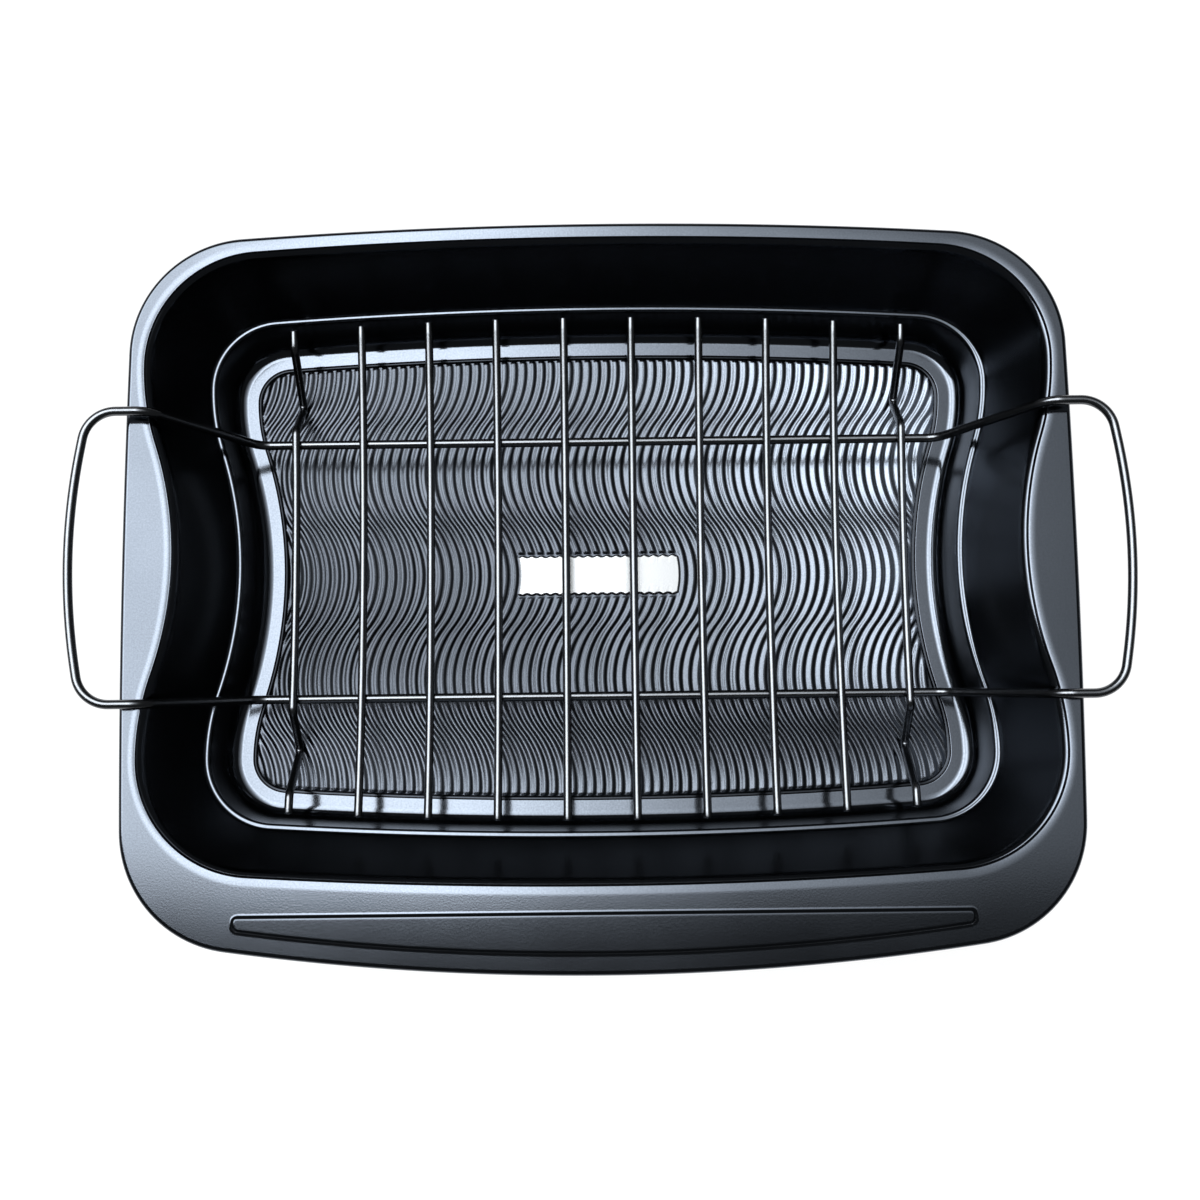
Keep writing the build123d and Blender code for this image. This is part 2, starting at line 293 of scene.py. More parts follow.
# The rows' distances across the flange. In front of the bowl they follow the panel's back and front edges,
# elsewhere they take fixed shares of the reach, and a smooth step blends the two.
def flangeRows(edge, outward, reach):
    inFront = smoothStep(np.clip((-outward[:, 1] - flange["aheadFrom"]) / flange["aheadBlend"], 0, 1))
    forward = np.clip(-outward[:, 1], flange["aheadLeast"], 1)

    # A distance in front of the bowl, and a share of the reach elsewhere
    def blended(ahead, share):
        return ahead * inFront + share * reach * (1 - inFront)

    toBack = blended((edge[:, 1] - panelBack) / forward, flange["backShare"])
    toFront = blended(reach - (tabPanel["margin"] - rim["curlRadius"]) / forward, flange["frontShare"])
    slope = blended(tabPanel["slope"], flange["slopeShare"])
    rows = [reach * flange["firstRow"], toBack / 2 - slope * flange["halfLead"]]
    rows += [toBack + slope * s for s in tabPanel["slopeRows"]]
    rows += [toBack + (toFront - toBack) / 2]
    rows += [toFront - slope * s for s in tabPanel["slopeRows"][::-1]]
    rows += [toFront + (reach - toFront) * flange["outerShare"], reach * flange["lastRow"]]
    return np.maximum.accumulate(np.stack(rows), axis=0)


# The pressed sheet: one closed section carried round the bowl's outline.
# The upper skin runs from the groove up the wall, over the bend, across the flange and round the curl.
# The lower skin is the same line moved by the sheet's thickness along its normals.
def makePanShell(material):
    outline, outward = bowlColumns()
    sheet, height = section["sheet"], section["height"]
    line, lineNormal = wallLine()

    # A profile of (out, z) carried round the outline: outline + out x normal, at height z
    def onBowl(profile):
        flat = outline[None] + profile[:, 0, None, None] * outward[None]
        z = np.broadcast_to(profile[:, 1, None, None], flat.shape[:2] + (1,))
        return np.concatenate([flat, z], -1)

    lowerLine = line - lineNormal * sheet
    lowerLine[:, 1] = np.maximum(lowerLine[:, 1], 0)
    lowerLine[0] = (line[0, 0], 0)
    upper, lower = [onBowl(line)], [onBowl(lowerLine)]

    edge = outline + section["flatFrom"] * outward
    reach, rimNormal = rimHits(edge, outward, rim["curlRadius"])
    rows = flangeRows(edge, outward, reach)
    across = edge[None] + rows[:, :, None] * outward[None]
    rise = panelRise(across[..., 0], across[..., 1])
    upper.append(np.concatenate([across, (height + rise)[..., None]], -1))
    lower.append(np.concatenate([across, (height - sheet + rise)[..., None]], -1))

    seat = edge + reach[:, None] * outward
    turn = np.radians(np.linspace(90, 90 - rim["curlTurn"], rim["curlSteps"]))[:, None, None]
    for skin, radius in ((upper, rim["curlRadius"]), (lower, rim["curlRadius"] - sheet)):
        flat = seat[None] + radius * np.cos(turn) * rimNormal[None]
        z = height - rim["curlRadius"] + radius * np.sin(turn) + 0 * flat[..., :1]
        skin.append(np.concatenate([flat, z], -1))
    rings = np.concatenate([np.concatenate(upper), np.concatenate(lower)[::-1]])
    vertices = rings.reshape(-1, 3)
    faces = gridFaces(rings.shape[0], rings.shape[1], True, True).tolist()
    piece = makePiece("panShell", vertices, faces, "pan_body", ["pan"], material)

    paintedLightAndShade, soft = np.zeros(rings.shape[:2]), np.zeros(rings.shape[:2])
    x, z = line[:, :1], line[:, 1:]
    # Painted shade: the walls are painted darker and rougher, apart from a band round the ledge.
    onWall = (z > sectionShadeAndRoughness["wallFrom"]) & (z < sectionShadeAndRoughness["wallTo"])
    onWall &= np.abs(z - section["ledgeHeight"]) > sectionShadeAndRoughness["ledgeClear"]
    # Painted shade: the groove round the field is painted darker.
    paintedLightAndShade[:len(line)] = np.where(x < -section["grooveInset"], sectionShadeAndRoughness["paintedGrooveShade"], 0)
    paintedLightAndShade[:len(line)] += sectionShadeAndRoughness["paintedWallShade"] * onWall
    soft[:len(line)] = sectionShadeAndRoughness["wallSoft"] * onWall
    # Painted shade on the pressed panel, in step with its rise.
    paintedLightAndShade[len(line):len(line) + len(rows)] = tabPanel["paintedLightAndShade"] * rise / tabPanel["height"]
    setValues(piece, {"paintedLightAndShade": paintedLightAndShade, "soft": soft})


# The ribbed field in the pan's floor

waveField = {
    "pitch": 3.74, "ribs": 38, "groovePhase": -1.67, "waveRadius": 34.0, "halfPeriod": 41.6,
    "depth": 0.46, "crown": 1.2, "tipLength": 1.5, "tipPower": 3.0,
    "skirt": 0.9, "skirtFall": 0.3, "skirtZ": 0.15, "bottomZ": 0.02,
    "plateFrom": -38.9, "plateTo": 25.0, "plateBack": 7.4, "plateFront": -8.1,   # the bare plate
    "plateEdge": 0.5, "plateTip": 1.1, "plateScallop": 0.35,
    "stepsPerRib": 8, "rowStep": 1.6, "straightRows": 60.0,   # rows past these bend with the sides
    "plainInset": 5.4, "plateCalm": 5.5, "plateLead": 0.9,
    "borderRows": (-0.9, -0.3, 0, 0.2, 0.5, 0.8, 1.2, 1.6, 2.2, 3.1, 4.2),   # inward from the border
    "plateRows": (0, 0.2, 0.4, 0.6, 0.8, 1.0, 1.25, 1.6, 2.1, 2.8),   # outward from inside the plate
    "smoothFrom": 0.3,   # faces whose normal's z is above it are shaded smooth
    # Painted light and shade: how much brighter the coating is painted, along Y and along X. The second
    # fades at the front.
    "paintedLightAndShade": [(-75, -0.25), (-35, -0.22), (0, -0.1), (45, 0.2), (88, 0.3)],
    "paintedLightAcross": [(-60, -0.52), (0, -0.42), (45, -0.15), (110, 0.4)],
    "acrossFrom": -65, "acrossBlend": 30,
}


# How far a place lies inside the bowl's outline: radius - distance to the centre of the arc that it faces,
# or distance - radius on a waist. The least of the twelve arcs counts.
def outlineInset(x, y):
    least = np.full(x.shape, np.inf)
    slack = 1e-9
    for centreX, centreY, radius, start, end, _ in bowlArcs:
        distance = np.hypot(x - centreX, y - centreY)
        middle, half = np.radians((start + end) / 2), abs(np.radians(end - start)) / 2
        ahead = (x - centreX) * np.cos(middle) + (y - centreY) * np.sin(middle)
        facing = ahead >= distance * np.cos(half) - slack
        inset = radius - distance if radius > 0 else distance + radius
        least = np.where(facing & (inset < least), inset, least)
    return least


# How far a rib is moved along x at y: tangent arcs that bulge right at y = 0 and left half a period on.
# shift = sqrt(R^2 - p^2) - sqrt(R^2 - q^2), p from the nearest crest and q a quarter period.
def waveShift(y):
    radius, half = waveField["waveRadius"], waveField["halfPeriod"]
    middle = np.sqrt(radius**2 - (half / 2) ** 2)
    fromCrest = np.abs((y + half) % (2 * half) - half)
    fromTrough = half - fromCrest
    right = np.sqrt(radius**2 - np.minimum(fromCrest, half / 2) ** 2) - middle
    left = middle - np.sqrt(radius**2 - np.minimum(fromTrough, half / 2) ** 2)
    return np.where(fromCrest <= half / 2, right, left)


# The field's surface: a rib falls from its crown as ((1 + cos 2 pi p) / 2)^n, p in pitches from a groove,
# and as (1 - e / tip)^m towards the border and the bare plate, e the distance to them. The sum is cut at
# the grooves' depth. Gives the height, the distance inside the border, and the share of the bare plate.
def fieldHeight(x, y, along):
    phase = 2 * np.pi * (along - waveField["groovePhase"]) / waveField["pitch"]
    rib = (0.5 + 0.5 * np.cos(phase)) ** waveField["crown"]
    inside = outlineInset(x, y) - section["fieldInset"]
    tip = np.clip(1 - inside / waveField["tipLength"], 0, 1) ** waveField["tipPower"]

    plateEdge = waveField["plateEdge"]
    fromPlateY = np.maximum(y - waveField["plateBack"], waveField["plateFront"] - y)
    fromPlateY = fromPlateY + waveField["plateScallop"] * np.cos(phase)
    fromPlateX = np.maximum(along - waveField["plateTo"], waveField["plateFrom"] - along)
    fromPlate = np.maximum(fromPlateX, fromPlateY)
    nearPlate = np.clip(1 - (fromPlateY - plateEdge) / waveField["plateTip"], 0, 1)
    plateTip = np.where(fromPlateX < 0, nearPlate, 0) ** waveField["tipPower"]
    plateFall = np.clip(1 + fromPlate / plateEdge, 0, 1) ** 2

    fall = np.clip(rib + tip + plateTip, 0, 1)
    fall = np.where(fromPlate < plateEdge, np.minimum(fall, plateFall), fall)
    top = section["sheet"] - waveField["depth"] * fall
    skirtTop, skirtZ = section["grooveFloor"], waveField["skirtZ"]
    skirt = skirtTop + inside * (skirtTop - skirtZ) / waveField["skirtFall"]
    height = np.where(inside < 0, np.maximum(skirt, skirtZ), top)
    return height, inside, np.clip(-fromPlate / plateEdge, 0, 1)


# The y of the field's rows: close together at the border and at the plate's edges, and plain between them.
def fieldRows(edgeY):
    near = edgeY - np.array(waveField["borderRows"])
    beside = np.array(waveField["plateRows"])
    back, front, lead = waveField["plateBack"], waveField["plateFront"], waveField["plateLead"]
    plainEnd = edgeY - waveField["plainInset"]
    plain = np.arange(-plainEnd, plainEnd, waveField["rowStep"])
    clear = (plain > back + beside[-1]) | (plain < front - beside[-1])
    plain = plain[clear | (np.abs(plain) < waveField["plateCalm"])]
    return np.sort(np.concatenate([near, -near, back - lead + beside, front + lead - beside, plain]))


# The ribbed field: a grid whose columns run along the ribs, x = u + waveShift(y) and z = fieldHeight.
# The skirt outside the border is hidden in the pan's sheet.
def makeWaveField(material):
    pitch, ribs, steps = waveField["pitch"], waveField["ribs"], waveField["stepsPerRib"]
    columns = np.arange(-ribs * steps, ribs * steps + 1) / steps * pitch + waveField["groovePhase"]
    edgeY = bowl["halfWidth"] - section["fieldInset"]
    along, rows = np.meshgrid(columns, fieldRows(edgeY))
    # Rows bend with the long sides: past the straight ones they stretch towards the outline's own edge
    guess = along + waveShift(rows)
    sideY = longCentre + np.sqrt((bowl["longRadius"] - section["fieldInset"]) ** 2 - guess**2)
    start = waveField["straightRows"]
    bent = np.sign(rows) * (start + (np.abs(rows) - start) * (sideY - start) / (edgeY - start))
    y = np.where(np.abs(rows) > start, bent, rows)
    x = along + waveShift(y)
    z, inside, plateHighlight = fieldHeight(x, y, along)
    faces = gridFaces(y.shape[0], y.shape[1], False, False)
    faces = faces[(inside.ravel()[faces] > -waveField["skirt"]).any(1)].tolist()
    vertices = np.stack([x, y, z], -1).reshape(-1, 3)
    piece = makePiece("waveField", vertices, faces, "pan_body", ["pan"], material)
    # Painted light and shade on the ribs: darker at the front and towards the left, brighter at the back and
    # the far right; none on the skirt.
    fading = np.clip((y - waveField["acrossFrom"]) / waveField["acrossBlend"], 0, 1)
    across = 1 + fading * np.interp(x, *zip(*waveField["paintedLightAcross"]))
    paintedLightAndShade = ((1 + np.interp(y, *zip(*waveField["paintedLightAndShade"]))) * across - 1) * (inside > 0)
    setValues(piece, {"plateHighlight": plateHighlight, "paintedLightAndShade": paintedLightAndShade, "soft": np.ones_like(paintedLightAndShade)})
    closeBelow(piece, waveField["bottomZ"], waveField["smoothFrom"])


# Closes an open surface: its border goes straight down to the bottom, which one face fills.
def closeBelow(piece, bottom, smoothFrom):
    bm = bmesh.new()
    bm.from_mesh(piece.data)
    bmesh.ops.delete(bm, geom=[v for v in bm.verts if not v.link_faces], context="VERTS")
    bmesh.ops.recalc_face_normals(bm, faces=bm.faces)
    if sum(f.normal.z * f.calc_area() for f in bm.faces) < 0:
        bmesh.ops.reverse_faces(bm, faces=bm.faces)
    border = [e for e in bm.edges if e.is_boundary]
    made = bmesh.ops.extrude_edge_only(bm, edges=border)["geom"]
    for v in made:
        if isinstance(v, bmesh.types.BMVert):
            v.co.z = bottom * millimetre
    bmesh.ops.holes_fill(bm, edges=[e for e in bm.edges if e.is_boundary], sides=0)
    bmesh.ops.recalc_face_normals(bm, faces=bm.faces)
    for f in bm.faces:
        f.smooth = f.normal.z > smoothFrom
    bm.to_mesh(piece.data)
    bm.free()


# The rack

loopWire = {
    "diameter": 3.4, "y": 49.6, "z": 18.6, "handleY": 53.0, "handleZ": 62.0,
    "footX": 132.0, "topX": 163.0, "footBend": 9.0, "topBend": 10.0,
    "reach": 27.2, "corner": 12.0, "bowAngle": 10.0, "sides": 28, "bendSteps": 22,
}
crossWire = {
    "diameter": 3.2, "count": 10, "firstX": 117.5, "cradleRadius": 506.0,
    "endClearance": 4.2, "weldSink": 0.2, "sides": 24, "endDome": 0.45, "steps": 41,
}
foot = {
    "fromEnd": 24.3, "legAngle": 33.0, "splay": 1.4, "tipBend": 2.6, "topBend": 3.6,
    "clearance": 0.3, "bendSteps": 18,
}
weld = {
    "length": 1.5, "width": 1.25, "height": 0.8, "rings": 10, "sides": 16,
    "pole": 0.12,   # radians from a pole to its first ring
}
domeAngles = np.radians([8, 25, 42, 58, 74, 90])   # the rings of a wire's domed end


# A round wire: ring = point + radius (across cos a + up sin a), across = tangent x reference and
# up = across x tangent. An open wire's ends close in a low dome.
def tube(path, radius, sides, reference, closed, dome):
    scale = np.ones(len(path))
    if not closed:
        path, scale = domedEnds(path, dome)
    ahead = np.roll(path, -1, 0) - np.roll(path, 1, 0) if closed else np.gradient(path, axis=0)
    if not closed:   # the short end steps take the wire's own direction
        n = len(domeAngles)
        ahead[:n], ahead[-n:] = path[n + 2] - path[n], path[-n - 1] - path[-n - 3]
    ahead /= np.linalg.norm(ahead, axis=1, keepdims=True)
    across = np.cross(ahead, reference)
    across /= np.linalg.norm(across, axis=1, keepdims=True)
    up = np.cross(across, ahead)
    angle = np.linspace(0, 2 * np.pi, sides, endpoint=False)[None, :, None]
    ring = across[:, None] * np.cos(angle) + up[:, None] * np.sin(angle)
    vertices = (path[:, None] + ring * (radius * scale)[:, None, None]).reshape(-1, 3)
    faces = gridFaces(len(path), sides, closed, True).tolist()
    return vertices, faces if closed else faces + endCaps(len(vertices), sides)


# The two faces that close a grid's first and last ring.
def endCaps(count, sides):
    return [list(range(sides)), list(range(count - 1, count - 1 - sides, -1))]


# Puts steps s = dome (1 - cos a) in place of a path's two ends, where the radius has a share of sin a.
def domedEnds(path, dome):
    steps = dome * (1 - np.cos(domeAngles))
    scale = np.sin(domeAngles)
    ends = []
    for first, second in ((path[0], path[1]), (path[-1], path[-2])):
        way = (second - first) / np.linalg.norm(second - first)
        ends.append(first + way * steps[:, None])
    inner = path[1:-1]
    whole = np.concatenate([ends[0], inner, ends[1][::-1]])
    return whole, np.concatenate([scale, np.ones(len(inner)), scale[::-1]])


# The loop's closed line: long wires, rises to the handles, and bars bowed outward at a blunt corner.
def loopPath():
    slope = np.tan(np.radians(loopWire["bowAngle"]))
    y, z, footX, topX = loopWire["y"], loopWire["z"], loopWire["footX"], loopWire["topX"]
    handleY, high = loopWire["handleY"], loopWire["handleZ"]
    bow = (handleY - loopWire["corner"]) / slope
    bowX = topX + loopWire["reach"] + bow * (np.hypot(1, slope) - 1)
    barX = bowX - handleY * slope
    half = [
        (0, y, z), (footX, y, z), (topX, handleY, high), (barX, handleY, high),
        (bowX, 0, high),
        (barX, -handleY, high), (topX, -handleY, high), (footX, -y, z), (0, -y, z),
    ]
    bends = [loopWire["footBend"], loopWire["topBend"], loopWire["corner"]]
    right = roundedLine(half, bends + [bow] + bends[::-1], loopWire["bendSteps"])
    return np.concatenate([right[:-1], (right * (-1, 1, 1))[::-1][:-1]])


# Half the length of a cross wire, whose ends keep the ledge's curve: the ledge's arc less the clearance.
def crossHalf(x):
    radius = bowl["longRadius"] - section["ledgeInset"] - section["ledgeWidth"]
    return longCentre + np.sqrt(radius**2 - x**2) - crossWire["endClearance"]


weldZ = loopWire["z"] + (loopWire["diameter"] + crossWire["diameter"]) / 2 - crossWire["weldSink"]
cradleZ = weldZ - crossWire["cradleRadius"] + np.sqrt(crossWire["cradleRadius"] ** 2 - loopWire["y"] ** 2)


# The sag of a cross wire's line: z = lowest + R - sqrt(R^2 - y^2).
def cradle(y):
    return cradleZ + crossWire["cradleRadius"] - np.sqrt(crossWire["cradleRadius"] ** 2 - y**2)


# The slope of that sag: y / sqrt(R^2 - y^2).
def cradleSlope(y):
    return y / np.sqrt(crossWire["cradleRadius"] ** 2 - y**2)


# A plain cross wire: x stays, y runs from end to end, and z follows the sag.
def crossPath(x):
    end = crossHalf(x)
    y = np.linspace(-end, end, crossWire["steps"])
    return np.stack([np.full_like(y, x), y, cradle(y)], -1)


# A cross wire with two V feet: straight ends, legs that lean alike, and the sag between the long wires.
# The legs meet the ends and the sag where z = tip + (distance from the tip) / tan(leg angle).
def footPath(side):
    x = crossWire["firstX"] * side
    end = crossHalf(x)
    tipY = end - foot["fromEnd"]
    lean = np.tan(np.radians(foot["legAngle"]))
    tipRise = foot["tipBend"] / np.sin(np.radians(foot["legAngle"])) - foot["tipBend"]
    tipZ = section["sheet"] + foot["clearance"] + crossWire["diameter"] / 2 - tipRise
    endZ, endSlope = cradle(end), cradleSlope(end)
    outerZ = (endZ - (foot["fromEnd"] + tipZ * lean) * endSlope) / (1 - lean * endSlope)
    innerSlope = cradleSlope(loopWire["y"])
    middleZ = weldZ - loopWire["y"] * innerSlope
    innerZ = (middleZ + (tipY + tipZ * lean) * innerSlope) / (1 + lean * innerSlope)
    half = [
        (x, end, endZ), (x, tipY + (outerZ - tipZ) * lean, outerZ), (x + foot["splay"] * side, tipY, tipZ),
        (x, tipY - (innerZ - tipZ) * lean, innerZ), (x, 0, middleZ),
    ]
    bends = [foot["topBend"], foot["tipBend"], foot["topBend"]]
    other = [(px, -py, pz) for px, py, pz in half[-2::-1]]
    return roundedLine(half + other, bends + [crossWire["cradleRadius"]] + bends, foot["bendSteps"])


# The squeezed metal of a spot weld: an ellipsoid between the two wires, closed at its poles.
# point = centre + size (sin p cos a, sin p sin a, cos p), p from pole to pole.
def weldBead(x, y):
    z = loopWire["z"] + loopWire["diameter"] / 2 - crossWire["weldSink"] / 2
    polar = np.linspace(weld["pole"], np.pi - weld["pole"], weld["rings"])[:, None, None]
    around = np.linspace(0, 2 * np.pi, weld["sides"], endpoint=False)[None, :, None]
    size = np.array([weld["length"], weld["width"], weld["height"]])
    flat = [np.sin(polar) * np.cos(around), np.sin(polar) * np.sin(around)]
    unit = np.concatenate(flat + [np.cos(polar) + 0 * around], -1)
    vertices = (np.array([x, y, z]) + unit * size).reshape(-1, 3)
    faces = gridFaces(weld["rings"], weld["sides"], False, True).tolist()
    return vertices, faces + endCaps(len(vertices), weld["sides"])


# The loop, eight plain cross wires at one pitch, two wires with feet, and a bead at each crossing.
def makeRack(material):
    # One piece of the rack, in place of its node
    def addPiece(name, node, vertices, faces):
        makePiece(name, vertices, faces, "rack_body", [node], material)

    # A thin wire along a path
    def addCrossWire(name, node, path):
        radius, sides, dome = crossWire["diameter"] / 2, crossWire["sides"], crossWire["endDome"]
        addPiece(name, node, *tube(path, radius, sides, (1, 0, 0), False, dome))

    loop = tube(loopPath(), loopWire["diameter"] / 2, loopWire["sides"], (0, 0, 1), True, 0)
    addPiece("rackLoop", "rack_loop_wire", *loop)
    pitch = 2 * crossWire["firstX"] / (crossWire["count"] - 1)
    places = [number * pitch - crossWire["firstX"] for number in range(crossWire["count"])]
    for number in range(1, crossWire["count"] - 1):
        addCrossWire(f"crossWire{number}", f"cross_wire_{number}", crossPath(places[number]))
    for name, side in (("left", -1), ("right", 1)):
        addCrossWire(f"footWire{name.title()}", f"foot_wire_{name}", footPath(side))
    beads, allFaces, start = [], [], 0
    for x in places:
        for y in (-loopWire["y"], loopWire["y"]):
            vertices, faces = weldBead(x, y)
            allFaces += [[start + v for v in face] for face in faces]
            beads.append(vertices)
            start += len(vertices)
    addPiece("weldBeads", "rack_loop_wire", np.concatenate(beads), allFaces)


# The finishes, in metres on Object coordinates. The plate colour is a painted highlight: a brighter colour
# painted on the field's bare plate. Soft is what the roughness gains where the piece's own soft value is 1.

coating = {
    "colour": (0.070, 0.0775, 0.090), "roughness": 0.11, "metallic": 1.0,
    "grainScale": 1500.0, "grainDepth": 0.000006, "speckle": 0.10, "cloudScale": 22.0, "cloud": 0.05,
    # The plate colour is a painted highlight on the field's bare plate.
    "plateHighlight": (0.2, 0.2, 0.2), "soft": 0.10,
}
wireFinish = {
    "colour": (0.115, 0.119, 0.126), "roughness": 0.22, "metallic": 1.0,
    "grainScale": 900.0, "grainDepth": 0.00001, "speckle": 0.08, "cloudScale": 60.0, "cloud": 0.06,
    "plateHighlight": None, "soft": 0.0,
}
finishNoise = {
    "fine": 3.0, "broad": 4.0,   # octaves
    "low": 0.3, "high": 0.7, "roughSpread": 0.08,   # the noise's usual range, and its share in the roughness
}


# New nodes of a tree, one for each kind.
def addNodes(tree, *kinds):
    return [tree.nodes.new(kind) for kind in kinds]


# A math node's output: a number is set on its socket, and an output is linked to it.
def worked(tree, operation, *values):
    node = tree.nodes.new("ShaderNodeMath")
    node.operation = operation
    for socket, value in zip(node.inputs, values):
        if isinstance(value, float):
            socket.default_value = value
        else:
            tree.links.new(value, socket)
    return node.outputs[0]


# Noise spread over 1 - amount to 1 + amount, times a size.
def spreadNoise(tree, noise, amount, size=1.0):
    spread = tree.nodes.new("ShaderNodeMapRange")
    spread.inputs["From Min"].default_value = finishNoise["low"]
    spread.inputs["From Max"].default_value = finishNoise["high"]
    spread.inputs["To Min"].default_value = size * (1 - amount)
    spread.inputs["To Max"].default_value = size * (1 + amount)
    tree.links.new(noise.outputs["Fac"], spread.inputs["Value"])
    return spread.outputs["Result"]


# A value that the piece keeps for each vertex, 0 where it has none.
def pieceValue(tree, name):
    node = tree.nodes.new("ShaderNodeAttribute")
    node.attribute_name = name
    return node.outputs["Fac"]


# Coated metal: colour x fine noise x broad noise x (1 + the piece's painted light and shade), mixed to the
# painted plate highlight where there is one, roughness x broad noise + the piece's soft value x soft, and
# the fine noise as its bump.
def satinMaterial(name, finish):
    material = bpy.data.materials.new(name)
    material.use_nodes = True
    tree = material.node_tree
    links, shader = tree.links, tree.nodes["Principled BSDF"]
    shader.inputs["Metallic"].default_value = finish["metallic"]
    place, fine, broad = addNodes(tree, "ShaderNodeTexCoord", "ShaderNodeTexNoise", "ShaderNodeTexNoise")
    for noise, scale, detail in ((fine, "grainScale", "fine"), (broad, "cloudScale", "broad")):
        noise.inputs["Scale"].default_value = finish[scale]
        noise.inputs["Detail"].default_value = finishNoise[detail]
        links.new(place.outputs["Object"], noise.inputs["Vector"])

    grain, cloud = spreadNoise(tree, fine, finish["speckle"]), spreadNoise(tree, broad, finish["cloud"])
    both = worked(tree, "MULTIPLY", grain, cloud)
    # Painted light and shade: the colour is scaled by 1 + the piece's value.
    withPaintedLight = worked(tree, "MULTIPLY_ADD", both, pieceValue(tree, "paintedLightAndShade"), both)
    tint = tree.nodes.new("ShaderNodeVectorMath")
    tint.operation = "SCALE"
    tint.inputs[0].default_value = finish["colour"]
    links.new(withPaintedLight, tint.inputs["Scale"])
    colour = tint.outputs[0]
    # Painted highlight: the field's bare plate is mixed towards a brighter colour.
    if finish["plateHighlight"]:
        highlightMix = tree.nodes.new("ShaderNodeMix")
        highlightMix.data_type = "RGBA"
        highlightMix.inputs["B"].default_value = (*finish["plateHighlight"], 1)
        links.new(pieceValue(tree, "plateHighlight"), highlightMix.inputs["Factor"])
        links.new(colour, highlightMix.inputs["A"])
        colour = highlightMix.outputs["Result"]
    links.new(colour, shader.inputs["Base Color"])

    rough = spreadNoise(tree, broad, finishNoise["roughSpread"], finish["roughness"])
    softer = worked(tree, "MULTIPLY_ADD", pieceValue(tree, "soft"), finish["soft"], rough)
    links.new(softer, shader.inputs["Roughness"])
    bump = tree.nodes.new("ShaderNodeBump")
    bump.inputs["Distance"].default_value = finish["grainDepth"]
    bump.inputs["Strength"].default_value = 1.0
    links.new(fine.outputs["Fac"], bump.inputs["Height"])
    links.new(bump.outputs["Normal"], shader.inputs["Normal"])
    return material


panCoating = satinMaterial("satinPanCoating", coating)
wireCoating = satinMaterial("glossyWireCoating", wireFinish)
makePanShell(panCoating)
print("pan shell made")
makeWaveField(panCoating)
print("wave field made")
makeRack(wireCoating)
print("rack made")


# The floor, the light and the camera

studio = {
    "floorSize": 6.0, "floorDrop": 0.0004,   # metres
    "floorGlow": 0.93, "floorMatt": 0.8, "floorShadow": 0.12,
    "tint": (0.93, 0.97, 1.0), "surround": 0.07, "boxGlow": 12.0, "horizon": 0.02,
    # The softbox's share of its glow, at tan(angle) to the right and at tan(angle) to the back
    "across": [
        (-2.0, 0.0), (-1.5, 0.06), (-1.2, 0.2), (-1.0, 0.4), (-0.8, 0.8), (-0.6, 1.0), (-0.45, 0.9),
        (-0.31, 0.6), (-0.2, 1.0), (-0.10, 1.0), (-0.045, 0.8), (0.0, 0.5), (0.05, 0.33), (0.1, 0.25),
        (0.2, 0.15), (0.26, 0.1), (0.45, 0.05), (0.6, 0.0),
    ],
    "along": [
        (-0.12, 0.0), (-0.095, 0.02), (-0.078, 0.25), (-0.054, 0.9), (-0.03, 1.0), (0.35, 1.0),
        (0.65, 0.75), (0.95, 0.0),
    ],
}
photoCamera = {
    "x": 1.25, "y": -80.34, "z": 579.63, "turnX": -6.3725, "turnY": -0.1048, "turnZ": 0.6738,
    "focal": 1464.39, "centreX": 601.04, "centreY": 613.15, "frame": 1200,   # in the photo's pixels
    "sensor": 36.0,
    "clipStart": 0.01, "clipEnd": 50,   # metres
}


# A pale floor. The camera and gloss see glow + a dark matt, which keeps the shadow, and other light finds
# it plainly matt.
def makeFloor():
    bpy.ops.mesh.primitive_plane_add(size=studio["floorSize"], location=(0, 0, -studio["floorDrop"]))
    floor = bpy.context.object
    floor.name = "floor"
    material = bpy.data.materials.new("paleFloor")
    material.use_nodes = True
    tree = material.node_tree
    tree.nodes.clear()
    output, rays = addNodes(tree, "ShaderNodeOutputMaterial", "ShaderNodeLightPath")
    glow, both, seen = addNodes(tree, "ShaderNodeEmission", "ShaderNodeAddShader", "ShaderNodeMixShader")
    matt, shadow = addNodes(tree, "ShaderNodeBsdfDiffuse", "ShaderNodeBsdfDiffuse")
    glow.inputs["Strength"].default_value = studio["floorGlow"]
    matt.inputs["Color"].default_value = (*[studio["floorMatt"]] * 3, 1)
    shadow.inputs["Color"].default_value = (*[studio["floorShadow"]] * 3, 1)
    either = worked(tree, "MAXIMUM", rays.outputs["Is Camera Ray"], rays.outputs["Is Glossy Ray"])
    tree.links.new(either, seen.inputs["Fac"])
    tree.links.new(glow.outputs[0], both.inputs[0])
    tree.links.new(shadow.outputs[0], both.inputs[1])
    tree.links.new(matt.outputs[0], seen.inputs[1])
    tree.links.new(both.outputs[0], seen.inputs[2])
    tree.links.new(seen.outputs[0], output.inputs["Surface"])
    floor.data.materials.append(material)


# A colour ramp over a table of (slope, share), from the table's first slope to its last.
def ramped(tree, slope, table):
    low, high = table[0][0], table[-1][0]
    ramp = tree.nodes.new("ShaderNodeValToRGB")
    ramp.color_ramp.interpolation = "EASE"
    stops = ramp.color_ramp.elements
    while len(stops) < len(table):
        stops.new(0.5)   # each is then moved to its place
    for stop, (at, share) in zip(stops, table):
        stop.position = (at - low) / (high - low)
        stop.color = (share, share, share, 1)
    place = worked(tree, "DIVIDE", worked(tree, "SUBTRACT", slope, low), high - low)
    tree.links.new(place, ramp.inputs["Fac"])
    return ramp.outputs["Color"]


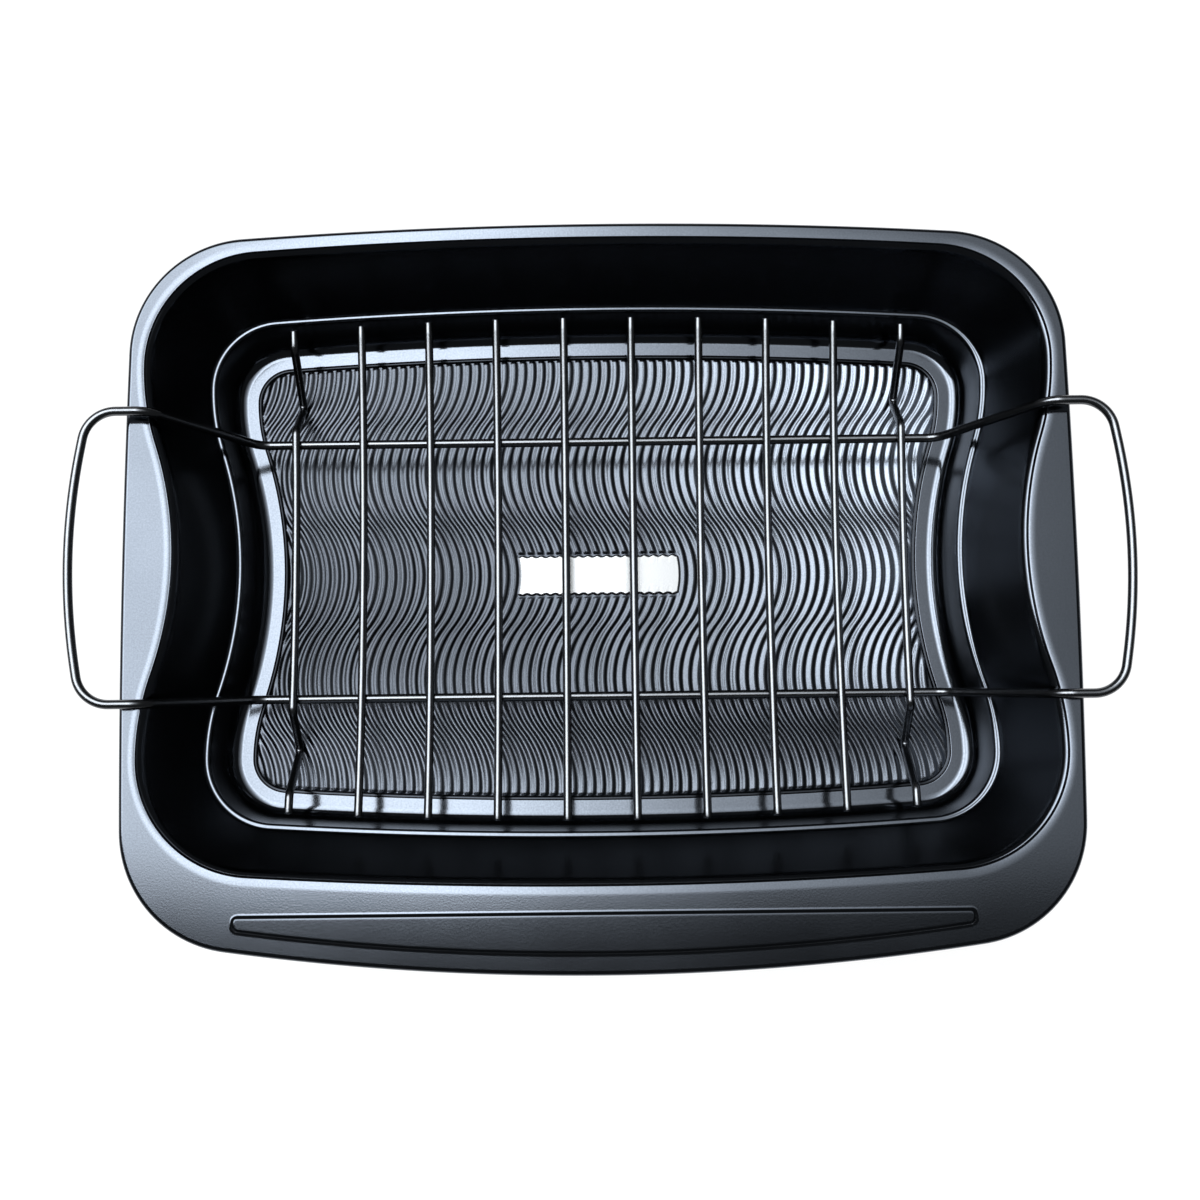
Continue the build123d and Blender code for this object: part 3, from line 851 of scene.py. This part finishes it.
# The softbox overhead, as the world's own glow: across(x / z) x along(y / z) for a direction (x, y, z)
# above the horizon. The camera sees plain white behind the floor.
def makeSurround():
    world = bpy.data.worlds.new("softboxRoom")
    bpy.context.scene.world = world
    world.use_nodes = True
    tree = world.node_tree
    tree.nodes.clear()
    output, rays = addNodes(tree, "ShaderNodeOutputWorld", "ShaderNodeLightPath")
    white, box, mix = addNodes(tree, "ShaderNodeBackground", "ShaderNodeBackground", "ShaderNodeMixShader")
    place, split = addNodes(tree, "ShaderNodeTexCoord", "ShaderNodeSeparateXYZ")
    tree.links.new(place.outputs["Generated"], split.inputs[0])
    height = worked(tree, "MAXIMUM", split.outputs["Z"], studio["horizon"])
    toRight = worked(tree, "DIVIDE", split.outputs["X"], height)
    toBack = worked(tree, "DIVIDE", split.outputs["Y"], height)
    across, along = ramped(tree, toRight, studio["across"]), ramped(tree, toBack, studio["along"])
    above = worked(tree, "GREATER_THAN", split.outputs["Z"], studio["horizon"])
    share = worked(tree, "MULTIPLY", worked(tree, "MULTIPLY", across, along), above)
    strength = worked(tree, "MULTIPLY_ADD", share, studio["boxGlow"], studio["surround"])
    tree.links.new(strength, box.inputs["Strength"])
    box.inputs["Color"].default_value = (*studio["tint"], 1)
    white.inputs["Color"].default_value = (1, 1, 1, 1)
    tree.links.new(rays.outputs["Is Camera Ray"], mix.inputs["Fac"])
    tree.links.new(box.outputs[0], mix.inputs[1])
    tree.links.new(white.outputs[0], mix.inputs[2])
    tree.links.new(mix.outputs[0], output.inputs["Surface"])


# The fitted camera: lens = focal x sensor / frame, and the shift moves the photo's centre to the lens's.
def makeCamera():
    data = bpy.data.cameras.new("photoCamera")
    width = photoCamera["frame"]
    data.sensor_width = photoCamera["sensor"]
    data.lens = photoCamera["focal"] * photoCamera["sensor"] / width
    data.shift_x = (width / 2 - photoCamera["centreX"]) / width
    data.shift_y = (photoCamera["centreY"] - width / 2) / width
    data.clip_start, data.clip_end = photoCamera["clipStart"], photoCamera["clipEnd"]
    turn = Euler([np.radians(photoCamera[k]) for k in ("turnX", "turnY", "turnZ")], "XYZ").to_matrix()
    camera = bpy.data.objects.new("photoCamera", data)
    bpy.context.scene.collection.objects.link(camera)
    place = Vector([photoCamera[k] for k in ("x", "y", "z")]) * millimetre
    camera.matrix_world = Matrix.Translation(place) @ turn.transposed().to_4x4()
    bpy.context.scene.camera = camera


makeFloor()
makeSurround()
makeCamera()
bpy.context.scene.view_settings.view_transform = "Standard"
print("studio made")
